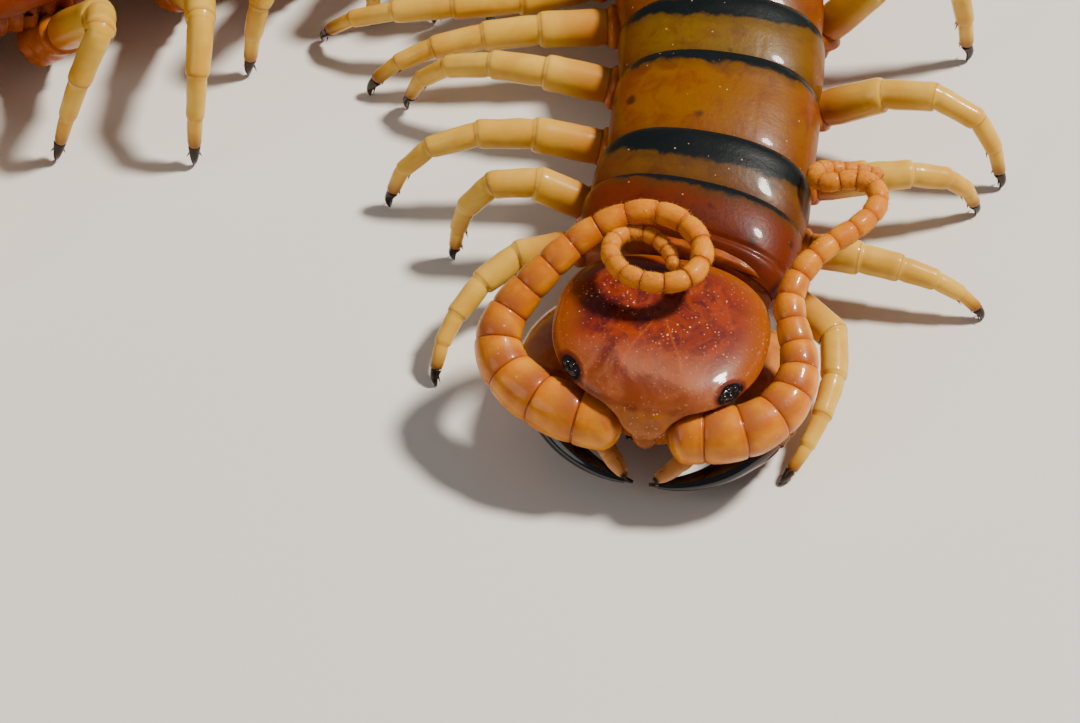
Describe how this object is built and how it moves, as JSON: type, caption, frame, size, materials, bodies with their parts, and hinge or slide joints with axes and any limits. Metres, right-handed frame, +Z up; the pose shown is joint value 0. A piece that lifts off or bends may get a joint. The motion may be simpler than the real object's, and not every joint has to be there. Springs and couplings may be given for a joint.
{
  "type": "giant centipede",
  "caption": "Life-size giant centipede standing with its flat, banded body curved, feelers coiled back over its head and poison claws closed.",
  "frame": {"origin": "on the floor, at the middle of the box that holds the whole animal", "axes": "+Z up; the head faces -Y and the animal's left is towards +X"},
  "size_m": [0.081, 0.0416, 0.0063],
  "materials": {
    "head_plate": "glossy orange-brown shell",
    "back_plate": "glossy amber plates with dark green-black bands at their rear edges",
    "mouth_shell": "translucent brown shell",
    "eye_lens": "polished black lenses",
    "feeler_shell": "amber shell, glossy near the head and finely haired towards the tip",
    "fang_shell": "polished black-brown claw",
    "leg_shell": "translucent yellow-amber shell with dark claws"
  },
  "bodies": {
    "root": {"head": "head_plate", "trunk_1": "back_plate", "trunk_2": "back_plate", "trunk_3": "back_plate", "trunk_4": "back_plate", "trunk_5": "back_plate", "trunk_6": "back_plate", "trunk_7": "back_plate", "claw_base": "mouth_shell", "eye_left": "eye_lens", "antenna_left": "feeler_shell", "forcipule_left": "fang_shell", "palp_left": "mouth_shell", "leg_left_01": "leg_shell", "leg_left_02": "leg_shell", "leg_left_03": "leg_shell", "leg_left_04": "leg_shell", "leg_left_05": "leg_shell", "leg_left_06": "leg_shell", "leg_left_07": "leg_shell", "leg_left_08": "leg_shell", "leg_left_09": "leg_shell", "leg_left_10": "leg_shell", "leg_left_11": "leg_shell", "leg_left_12": "leg_shell", "leg_left_13": "leg_shell", "leg_left_14": "leg_shell", "leg_left_15": "leg_shell", "leg_left_16": "leg_shell", "leg_left_17": "leg_shell", "leg_left_18": "leg_shell", "leg_left_19": "leg_shell", "leg_left_20": "leg_shell", "leg_left_21": "leg_shell", "eye_right": "eye_lens", "antenna_right": "feeler_shell", "forcipule_right": "fang_shell", "palp_right": "mouth_shell", "leg_right_01": "leg_shell", "leg_right_02": "leg_shell", "leg_right_03": "leg_shell", "leg_right_04": "leg_shell", "leg_right_05": "leg_shell", "leg_right_06": "leg_shell", "leg_right_07": "leg_shell", "leg_right_08": "leg_shell", "leg_right_09": "leg_shell", "leg_right_10": "leg_shell", "leg_right_11": "leg_shell", "leg_right_12": "leg_shell", "leg_right_13": "leg_shell", "leg_right_14": "leg_shell", "leg_right_15": "leg_shell", "leg_right_16": "leg_shell", "leg_right_17": "leg_shell", "leg_right_18": "leg_shell", "leg_right_19": "leg_shell", "leg_right_20": "leg_shell", "leg_right_21": "leg_shell"}
  },
  "joints": []
}
